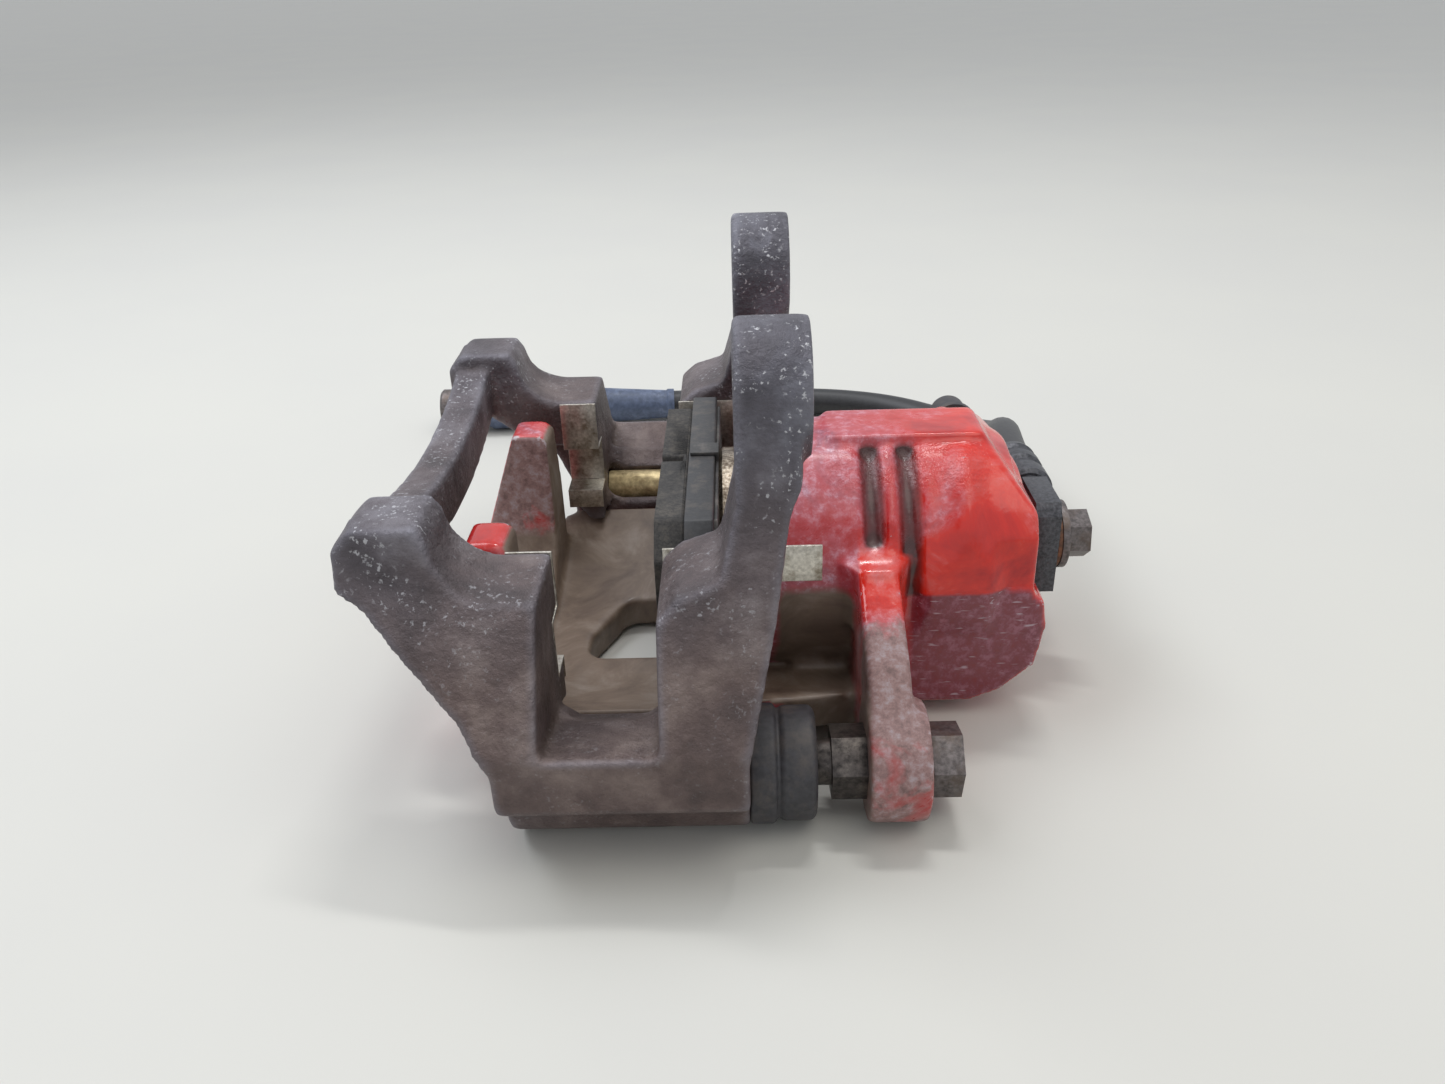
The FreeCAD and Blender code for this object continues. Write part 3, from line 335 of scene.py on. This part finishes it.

# %% [markdown]
# The caliper was sprayed a glossy orange-red over a rough casting. Years of weather have faded it to a
# hazy pink in places, worn it to grey-brown metal on the lugs, chipped the corners and left brake dust
# inside the bridge. Values kept on the casting's vertices say how faded, scratched, bare or dusty each
# place is, where dark paint and painted shade darken it, and where painted shade fills its recesses.

# %% Worn paint


def worn_paint():
    """Glossy red caliper paint with its wear and painted shade laid over it, one kind after the other."""
    material, tree, shader, place = new_material("worn_red_paint")
    broad = node(tree, "ShaderNodeTexNoise",
                 {"Vector": place, "Scale": 60.0, "Detail": 5.0, "Roughness": 0.65, "Distortion": 0.6})
    fine = node(tree, "ShaderNodeTexNoise",
                {"Vector": place, "Scale": 420.0, "Detail": 4.0, "Roughness": 0.7})
    # Faded to a pinkish haze
    red = node(tree, "ShaderNodeValToRGB", {"Fac": broad.outputs["Fac"]},
               ramp=[(0.3, colour("#a81416")), (0.5, colour("#d0271a")), (0.7, colour("#ec4a28"))])
    haze = node(tree, "ShaderNodeValToRGB", {"Fac": fine.outputs["Fac"]},
                ramp=[(0.3, colour("#84404e")), (0.5, colour("#a0606f")), (0.66, colour("#c09fb0"))])
    fade = node(tree, "ShaderNodeMath", {0: broad.outputs["Fac"], 1: -0.52}, operation="ADD")
    fade = node(tree, "ShaderNodeMath", {0: fade.outputs[0], 1: 3.2, 2: attribute(tree, "fade")},
                operation="MULTIPLY_ADD", use_clamp=True)
    paint = blend_colours(tree, fade.outputs[0], red.outputs["Color"], haze.outputs["Color"])
    # Dark maroon on the end's flat sides, partly the paint's own tone and partly painted shade, with pale
    # scratches
    dark_paint_and_shade = node(tree, "ShaderNodeMath", {0: fine.outputs["Fac"], 1: 0.5, 2: attribute(tree, "dark_paint_and_shade")},
                operation="MULTIPLY_ADD")
    dark_paint_and_shade = node(tree, "ShaderNodeMapRange", {"Value": dark_paint_and_shade.outputs[0], "From Min": 0.4, "From Max": 1.1})
    maroon = node(tree, "ShaderNodeValToRGB", {"Fac": fine.outputs["Fac"]},
                  ramp=[(0.35, colour("#54303a")), (0.5, colour("#6f3a47")), (0.64, colour("#935a68"))])
    paint = blend_colours(tree, dark_paint_and_shade.outputs["Result"], paint, maroon.outputs["Color"])
    stroke = node(tree, "ShaderNodeMapping", {"Vector": place, "Rotation": (0.3, 0.9, 0.4),
                                              "Scale": (0.16, 1.0, 1.0)})
    scratch = node(tree, "ShaderNodeTexNoise", {"Vector": stroke.outputs["Vector"], "Scale": 1300.0,
                                                "Detail": 1.0})
    scratch = node(tree, "ShaderNodeMapRange", {"Value": scratch.outputs["Fac"], "From Min": 0.66,
                                                "From Max": 0.74})
    scratch = node(tree, "ShaderNodeMath", {0: scratch.outputs["Result"], 1: attribute(tree, "dark_paint_and_shade")},
                   operation="MULTIPLY")
    paint = blend_colours(tree, scratch.outputs[0], paint, colour("#b8a3ad"))
    # Worn through to grey-brown metal
    bare = node(tree, "ShaderNodeMath", {0: broad.outputs["Fac"], 1: 1.5, 2: attribute(tree, "bare")},
                operation="MULTIPLY_ADD")
    bare = node(tree, "ShaderNodeMapRange", {"Value": bare.outputs[0], "From Min": 1.15, "From Max": 1.4})
    metal = node(tree, "ShaderNodeValToRGB", {"Fac": fine.outputs["Fac"]},
                 ramp=[(0.32, colour("#6f5452")), (0.5, colour("#937370")), (0.68, colour("#a8979a"))])
    paint = blend_colours(tree, bare.outputs["Result"], paint, metal.outputs["Color"])
    # Chips along the edges
    chip = node(tree, "ShaderNodeMath", {0: attribute(tree, "edge_wear_and_sheen"), 1: 0.42, 2: fine.outputs["Fac"]},
                operation="MULTIPLY_ADD")
    chip = node(tree, "ShaderNodeMapRange", {"Value": chip.outputs[0], "From Min": 0.8, "From Max": 0.88})
    paint = blend_colours(tree, chip.outputs["Result"], paint, colour("#b4a4a8"))
    # Painted shade in the hollows, along with their dirt, and on the flutes' floors, then brake dust over
    # everything
    dust = node(tree, "ShaderNodeMath", {0: broad.outputs["Fac"], 1: 0.6, 2: attribute(tree, "dust")},
                operation="MULTIPLY_ADD")
    dust = node(tree, "ShaderNodeMapRange", {"Value": dust.outputs[0], "From Min": 0.5, "From Max": 0.95})
    grime = node(tree, "ShaderNodeValToRGB", {"Fac": broad.outputs["Fac"]},
                 ramp=[(0.3, colour("#5a4a40")), (0.52, colour("#7a695b")), (0.72, colour("#978a7f"))])
    recess_shade = node(tree, "ShaderNodeMath", {0: attribute(tree, "hollow_dirt_and_shade"), 1: 0.9, 2: attribute(tree, "recess_shade")},
                operation="MULTIPLY_ADD", use_clamp=True)
    paint = blend_colours(tree, recess_shade.outputs[0], paint, colour("#44201f"))
    base = blend_colours(tree, dust.outputs["Result"], paint, grime.outputs["Color"])
    tree.links.new(base, shader.inputs["Base Color"])
    dull = node(tree, "ShaderNodeMath", {0: fade.outputs[0], 1: dust.outputs["Result"]},
                operation="MAXIMUM")
    dull = node(tree, "ShaderNodeMath", {0: dull.outputs[0], 1: bare.outputs["Result"]},
                operation="MAXIMUM")
    rough = node(tree, "ShaderNodeMapRange", {"Value": dull.outputs[0], "To Min": 0.17, "To Max": 0.55})
    tree.links.new(rough.outputs["Result"], shader.inputs["Roughness"])
    shader.inputs["Coat Weight"].default_value = 0.15
    shader.inputs["Coat Roughness"].default_value = 0.15
    lumps = node(tree, "ShaderNodeTexNoise", {"Vector": place, "Scale": 260.0, "Detail": 3.0})
    pits = node(tree, "ShaderNodeMath", {0: attribute(tree, "pitted"), 1: fine.outputs["Fac"]},
                operation="MULTIPLY")
    relief = node(tree, "ShaderNodeMath", {0: pits.outputs[0], 1: 5.0, 2: lumps.outputs["Fac"]},
                  operation="MULTIPLY_ADD")
    bump = node(tree, "ShaderNodeBump",
                {"Height": relief.outputs[0], "Strength": 0.5, "Distance": 0.3 * MM})
    tree.links.new(bump.outputs["Normal"], shader.inputs["Normal"])
    return material


paint = worn_paint()
print(paint.name, len(paint.node_tree.nodes), "nodes")

# %% [markdown]
# Bought-in parts: zinc-plated bolts and pins with a soiled grain, bright stainless clips, dull black
# rubber, the pad's coarse lining, its black plate, copper washers and the grey cast hose block. Each is
# two tones over a grain of its own size, and most have soil of a third tone in larger patches. They
# differ in numbers only, so one function makes them all. Real grain is finer than the picture can show,
# so each is drawn as coarse as it needs to be seen.

# %% Metals, rubber and lining


def plain_finish(name, low, high, size_mm, metallic, rough, bump_mm, spots=None):
    """A mottled finish: two tones over grains of a real size, with relief of a real depth."""
    material, tree, shader, place = new_material(name)
    grain = node(tree, "ShaderNodeTexNoise",
                 {"Vector": place, "Scale": 1.0 / (size_mm * MM), "Detail": 5.0, "Roughness": 0.6})
    tone = node(tree, "ShaderNodeValToRGB", {"Fac": grain.outputs["Fac"]},
                ramp=[(0.32, colour(low)), (0.68, colour(high))])
    base = tone.outputs["Color"]
    if spots:
        soil = node(tree, "ShaderNodeTexNoise",
                    {"Vector": place, "Scale": 0.2 / (size_mm * MM), "Detail": 6.0, "Roughness": 0.7})
        amount = node(tree, "ShaderNodeMapRange",
                      {"Value": soil.outputs["Fac"], "From Min": 0.48, "From Max": 0.66})
        base = blend_colours(tree, amount.outputs["Result"], base, colour(spots))
    tree.links.new(base, shader.inputs["Base Color"])
    shader.inputs["Metallic"].default_value = metallic
    gloss = node(tree, "ShaderNodeMapRange",
                 {"Value": grain.outputs["Fac"], "To Min": rough - 0.1, "To Max": rough + 0.12})
    tree.links.new(gloss.outputs["Result"], shader.inputs["Roughness"])
    bump = node(tree, "ShaderNodeBump",
                {"Height": grain.outputs["Fac"], "Strength": 0.6, "Distance": bump_mm * MM})
    tree.links.new(bump.outputs["Normal"], shader.inputs["Normal"])
    return material


# One finish for each material slot: name, two tones, grain in mm, metallic, roughness, relief in mm, soil
FINISHES = {
    # Grey iron, sand cast and left bare: grainy, brown-grey, hardly shiny
    "cast_iron": iron,
    # Caliper enamel, sprayed: deep red with sharp highlights where it isn't worn
    "red_paint": paint,
    # Moulded rubber: soft black with a dusty bloom and broad, faint highlights
    "rubber": plain_finish(
        "moulded_rubber", "#2b2a2d", "#3f3e42", 1.6, 0.0, 0.55, 0.06, "#504a47"),
    # Stainless strip, rolled: pale and bright with brownish soil
    "stainless": plain_finish(
        "rolled_stainless", "#a8a39a", "#d6d1c6", 0.9, 0.85, 0.33, 0.02, "#857b6c"),
    # Spring steel, blued: dark grey with a dull gleam
    "spring_steel": plain_finish(
        "blued_spring_steel", "#4c4a48", "#65605a", 0.8, 0.8, 0.42, 0.03),
    # Zinc-plated steel, worn: mid grey with brown patches and a broken gleam
    "zinc_steel": plain_finish(
        "worn_zinc_steel", "#4b4645", "#7d7675", 1.2, 0.7, 0.42, 0.05, "#5f534c"),
    # Annealed copper, soiled by fluid: brown with a warm gleam
    "copper": plain_finish(
        "soiled_copper", "#5f4335", "#875d46", 1.0, 0.7, 0.5, 0.02, "#463b34"),
    # Hard chrome, pitted: bright between rusty brown pits
    "chromed_steel": plain_finish(
        "pitted_chrome", "#594737", "#c4b8a6", 0.7, 0.85, 0.32, 0.15, "#4a3a2d"),
    # Black plate paint, baked: even, satin, with grey dust
    "painted_plate": plain_finish(
        "black_plate_paint", "#28282a", "#3b3b3d", 0.9, 0.0, 0.5, 0.1, "#4d4844"),
    # Friction lining, moulded: coarse dark grains, fully matt
    "friction": plain_finish(
        "moulded_lining", "#242322", "#474442", 0.6, 0.0, 0.8, 0.28, "#57524c"),
    # Steel with a rubber coat, rolled on: dark grey, slightly shiny, rubbed in patches
    "shim": plain_finish(
        "coated_shim", "#303031", "#4c4b4a", 1.4, 0.3, 0.45, 0.05, "#6d6763"),
    # Phosphated steel: smoky grey, fine-grained, with a dull gleam
    "block_steel": plain_finish(
        "cast_block_steel", "#343538", "#5a5b60", 0.8, 0.6, 0.42, 0.1),
    # Extruded rubber: smooth and black, with one long highlight along the hose
    "hose_rubber": plain_finish(
        "extruded_hose_rubber", "#1b1b1d", "#2a2a2d", 1.1, 0.0, 0.45, 0.04),
    # Grey-blue moulded rubber: chalky with dust
    "sleeve_rubber": plain_finish(
        "dusty_sleeve_rubber", "#3b465b", "#56627c", 1.8, 0.0, 0.5, 0.05, "#727d95"),
}
# The two guide pins differ from the bolts in their slot
NODE_FINISHES = {
    # Greased steel: dark and streaky with a wet gleam
    "guide_pin_near": plain_finish(
        "greased_steel", "#2d2a29", "#5b5552", 1.4, 0.8, 0.36, 0.05, "#77706a"),
    # Yellow zinc plating: pale brassy gold, brown where it is soiled
    "guide_pin_far": plain_finish(
        "yellow_zinc", "#a08c66", "#d9c596", 1.6, 0.6, 0.38, 0.03, "#7d6a4c"),
}
print(len(FINISHES) + len(NODE_FINISHES), "finishes")

# %% [markdown]
# A casting leaves its mould with no sharp edge. A copy of the CAD solid is merged, rebuilt in even quads
# by a voxel remesh and smoothed, which rounds every corner and fills every inner corner by a millimetre
# or so, as a sand mould does. Where the skin then bulges or dips is kept on its vertices: edges rub bright
# and also get a painted sheen, and hollows gather dirt and also get painted shade.

# %% Casting helper
MERGE_GAP = 0.01 * MM


def select_only(thing):
    """Selects one object and makes it active."""
    bpy.ops.object.select_all(action="DESELECT")
    thing.select_set(True)
    bpy.context.view_layer.objects.active = thing


def copy_of(node_name, name):
    """A merged copy of a CAD node as a new piece."""
    source = frame["nodes"][node_name]
    piece = bpy.data.objects.new(name, source.data.copy())
    scene.collection.objects.link(piece)
    piece.data.materials.clear()
    select_only(piece)
    bpy.ops.object.mode_set(mode="EDIT")
    bpy.ops.mesh.select_all(action="SELECT")
    bpy.ops.mesh.remove_doubles(threshold=MERGE_GAP)
    bpy.ops.object.mode_set(mode="OBJECT")
    return piece


def apply_modifier(piece, kind, **settings):
    """Adds a modifier with its settings and applies it."""
    select_only(piece)
    modifier = piece.modifiers.new(kind.lower(), kind)
    for name, value in settings.items():
        setattr(modifier, name, value)
    bpy.ops.object.modifier_apply(modifier=modifier.name)


def dress(piece, node_name):
    """The piece takes a CAD node's place, body, slot and finish."""
    slot = SLOT_OF[node_name]
    piece.data.materials.append(NODE_FINISHES.get(node_name, FINISHES[slot]))
    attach(piece, BODY_OF[node_name])
    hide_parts(node_name)
    return piece


def cast(node_name, name, voxel, rounds):
    """A casting with soft edges, from a CAD node, a voxel size and a number of smoothing rounds."""
    piece = copy_of(node_name, name)
    apply_modifier(piece, "REMESH", mode="VOXEL", voxel_size=voxel, adaptivity=0.0)
    apply_modifier(piece, "SMOOTH", factor=0.5, iterations=rounds)
    bpy.ops.object.shade_smooth()
    print(name, len(piece.data.polygons), "faces")
    return piece


def vertex_vectors(piece, kind):
    """Each vertex's place, kind co, or its normal, kind normal, as rows of an array."""
    data = np.zeros(len(piece.data.vertices) * 3, np.float32)
    piece.data.vertices.foreach_get(kind, data)
    return data.reshape(-1, 3)


def keep_value(piece, name, values):
    """Keeps a value from nought to one on each vertex, for a material to read."""
    layer = piece.data.attributes.new(name, "FLOAT", "POINT")
    layer.data.foreach_set("value", np.clip(values, 0.0, 1.0).astype(np.float32))


def neighbour_mean(piece, values):
    """The mean of each vertex's neighbours' values, one column at a time."""
    ends = np.zeros(len(piece.data.edges) * 2, np.int32)
    piece.data.edges.foreach_get("vertices", ends)
    first, second = ends.reshape(-1, 2).T
    count = len(piece.data.vertices)
    number = np.maximum(np.bincount(ends, minlength=count), 1)
    columns = [np.bincount(first, column[second], count) + np.bincount(second, column[first], count)
               for column in values.T]
    return np.stack(columns, axis=1) / number[:, None]


def keep_bends(piece, low_mm, high_mm):
    """Keeps how much each vertex stands out, for rubbed edges and painted sheen, or lies in, for dirt and
    painted shade.
    """
    place = vertex_vectors(piece, "co") / MM
    lean = neighbour_mean(piece, place) - place
    out = -(lean * vertex_vectors(piece, "normal")).sum(axis=1, keepdims=True)
    for _ in range(2):
        out = neighbour_mean(piece, out)
    keep_value(piece, "edge_wear_and_sheen", (out[:, 0] - low_mm) / (high_mm - low_mm))
    keep_value(piece, "hollow_dirt_and_shade", (-out[:, 0] - low_mm) / (high_mm - low_mm))


bracket = cast("bracket", "bracket_casting", voxel=0.85 * MM, rounds=12)
keep_bends(bracket, low_mm=0.02, high_mm=0.09)
dress(bracket, "bracket")

# %% [markdown]
# The caliper's casting gets its wear and painted-shade values here, by place: dust lies inside the bridge,
# in its window and on the claws' inner faces, the paint has faded towards the cylinder's mouth, the lugs
# and the far claw are worn bare, the end's flat sides are dark paint and painted shade, and the flutes'
# floors get painted shade. Before that, the cylinder's upper side swells to a rounded ring ahead of its
# end.

# %% Caliper casting
# The cylinder's axis above the bench, its radius, and its shoulder's place, half width and rise, in mm
AXIS_HEIGHT = (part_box("piston")[0].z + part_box("piston")[1].z) / 2 / MM - TABLE_Z / MM
CYLINDER_RADIUS = 31.0
SHOULDER_X, SHOULDER_HALF_WIDTH, SHOULDER_RISE = 37.5, 3.4, 2.0


def ramp_up(values, low, high):
    """Nought at low, one at high, and in between along a line."""
    return np.clip((values - low) / (high - low), 0.0, 1.0)


def ramp_down(values, low, high):
    """One at low and nought at high."""
    return 1 - ramp_up(values, low, high)


def raise_shoulder(piece):
    """Swells the cylinder's upper side before its end, but not the ledge or the webs; sizes in mm."""
    place = vertex_vectors(piece, "co")
    x, y, z = (place / MM).T
    rise = z - TABLE_Z / MM - AXIS_HEIGHT
    away = np.maximum(np.hypot(y, rise), 1.0)
    swell = SHOULDER_RISE * np.exp(-((x - SHOULDER_X) / SHOULDER_HALF_WIDTH) ** 2)
    swell = swell * ramp_up(rise, -4, 6) * ramp_up(away, 24, 27)
    swell = swell * ramp_up(np.abs(y), 9, 15) * ramp_down(np.abs(y), 27, 31)
    place[:, 1] += swell * y / away * MM
    place[:, 2] += swell * rise / away * MM
    piece.data.vertices.foreach_set("co", place.ravel())
    piece.data.update()


def paint_values(piece):
    """Keeps the wear and the painted shade of each place: x inboard, y from the middle, z above the bench,
    all in mm.
    """
    x, across, z = (vertex_vectors(piece, "co") / MM).T
    z = z - TABLE_Z / MM
    y = np.abs(across)
    inboard, sideways, upward = vertex_vectors(piece, "normal").T
    # Brake dust: the bridge's inner side, its window, the claws' inner faces, beside the web, underneath
    inside = ramp_down(x, -2, 4) * ramp_up(upward, 0.1, 0.5) * ramp_down(z, 24, 34)
    window = (x > -64) * (x < -20) * ramp_down(y, 22, 25) * ramp_down(z, 16, 20)
    claw_face = ramp_up(inboard, 0.5, 0.8) * ramp_down(x, -60, -50)
    pocket = ramp_up(x, -8, -4) * ramp_down(x, 10, 13) * ramp_down(z, 35, 40)
    under = ramp_up(-upward, 0.4, 0.8)
    grime = np.maximum.reduce([inside, window, 0.75 * claw_face, 0.9 * pocket])
    keep_value(piece, "dust", grime + 0.4 * under)
    # Painted shade: the flutes' floors
    depth = CYLINDER_RADIUS - np.hypot(y, z - AXIS_HEIGHT)
    flute = ramp_up(x, 12, 14) * ramp_down(x, 38, 40) * ramp_up(depth, 0.3, 1.3) * (z > AXIS_HEIGHT)
    keep_value(piece, "recess_shade", 0.75 * flute)
    # Fading: most at the mouth, some along the barrel, none on the webs' shoulders
    mouth = ramp_down(x, 6, 30) * (x > -20)
    middle = ramp_down(x, 34, 40)
    shoulder = ramp_up(y, 26, 30) * ramp_down(y, 40, 46) * (x > 12)
    keep_value(piece, "fade", -0.05 + 0.34 * middle + 0.5 * mouth - 0.7 * shoulder)
    # Dark paint and painted shade: the end's flat sides
    flat = ramp_up(y, 28.2, 28.8) * ramp_down(y, 32, 36) * ramp_up(x, 22, 26) * (z < 36)
    keep_value(piece, "dark_paint_and_shade", 0.78 * flat)
    # Bare metal: the lugs and the near side of the far claw
    lug = ramp_up(y, 40, 50) * ramp_up(x, 0, 10)
    far_claw = ramp_up(-sideways, 0.3, 0.6) * (x < -50) * (across > 0)
    keep_value(piece, "bare", 0.75 * lug + 0.7 * far_claw)
    # Pits: round the ledge
    pitted = ramp_up(z, 56, 60) * ramp_down(z, 63, 65) * ramp_up(x, 4, 8) * ramp_down(x, 40, 46)
    keep_value(piece, "pitted", pitted)


caliper = cast("caliper_body", "caliper_casting", voxel=0.95 * MM, rounds=8)
raise_shoulder(caliper)
keep_bends(caliper, low_mm=0.03, high_mm=0.12)
paint_values(caliper)
dress(caliper, "caliper_body")

# %% [markdown]
# Machined, pressed and moulded parts keep their shape, but none has a razor edge: each copy gets a small
# bevel at its real radius, and its curved faces are shaded smooth up to a thirty-degree corner.

# %% Small parts
# Each part's bevel width in millimetres
EDGE_MM = {
    "pin_bolt_near": 1.1, "pin_bolt_far": 1.1, "banjo_bolt": 0.9, "guide_pin_near": 0.6,
    "guide_pin_far": 0.6, "banjo_block": 0.7, "pad_plate": 0.5, "pad_friction": 0.8, "pad_shim": 0.2,
    "piston": 0.4, "pin_boot_near": 0.6, "pin_boot_far": 0.6, "dust_boot": 0.3, "hose_ferrule": 0.35,
    "hose_sleeve": 0.4, "hose_end": 0.3, "bleed_screw": 0.3, "bleed_cap": 0.4, "pin_bush": 0.9,
    "piston_seal": 0.2, "pad_spring": 0.1, "copper_washer_inner": 0.2, "copper_washer_outer": 0.2,
    "pad_clip_near_inner": 0.12, "pad_clip_far_inner": 0.12, "pad_clip_near_outer": 0.12,
    "pad_clip_far_outer": 0.12,
}
BEVEL_ABOVE = math.radians(32)
SMOOTH_BELOW = math.radians(30)


def round_edges(node_name, width_mm):
    """A small part with its edges rounded to a real width."""
    piece = copy_of(node_name, node_name + "_finished")
    apply_modifier(piece, "BEVEL", width=width_mm * MM, segments=3, limit_method="ANGLE",
                   angle_limit=BEVEL_ABOVE, use_clamp_overlap=True, harden_normals=False)
    bpy.ops.object.shade_smooth_by_angle(angle=SMOOTH_BELOW)
    return dress(piece, node_name)


finished = {name: round_edges(name, width) for name, width in EDGE_MM.items()}
print(len(finished), "small parts finished")

# %% [markdown]
# The hose is one piece of extruded rubber with its crimped shell at one end and its sleeve and steel
# socket at the other. It takes the hose rubber finish and is attached to the caliper's body.

# %% Hose finish
hose.data.materials.append(FINISHES["hose_rubber"])
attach(hose, "caliper")
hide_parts("brake_hose")
print("hose", round(hose_length, 3), "m long and", 2 * HOSE_RADIUS, "m thick")
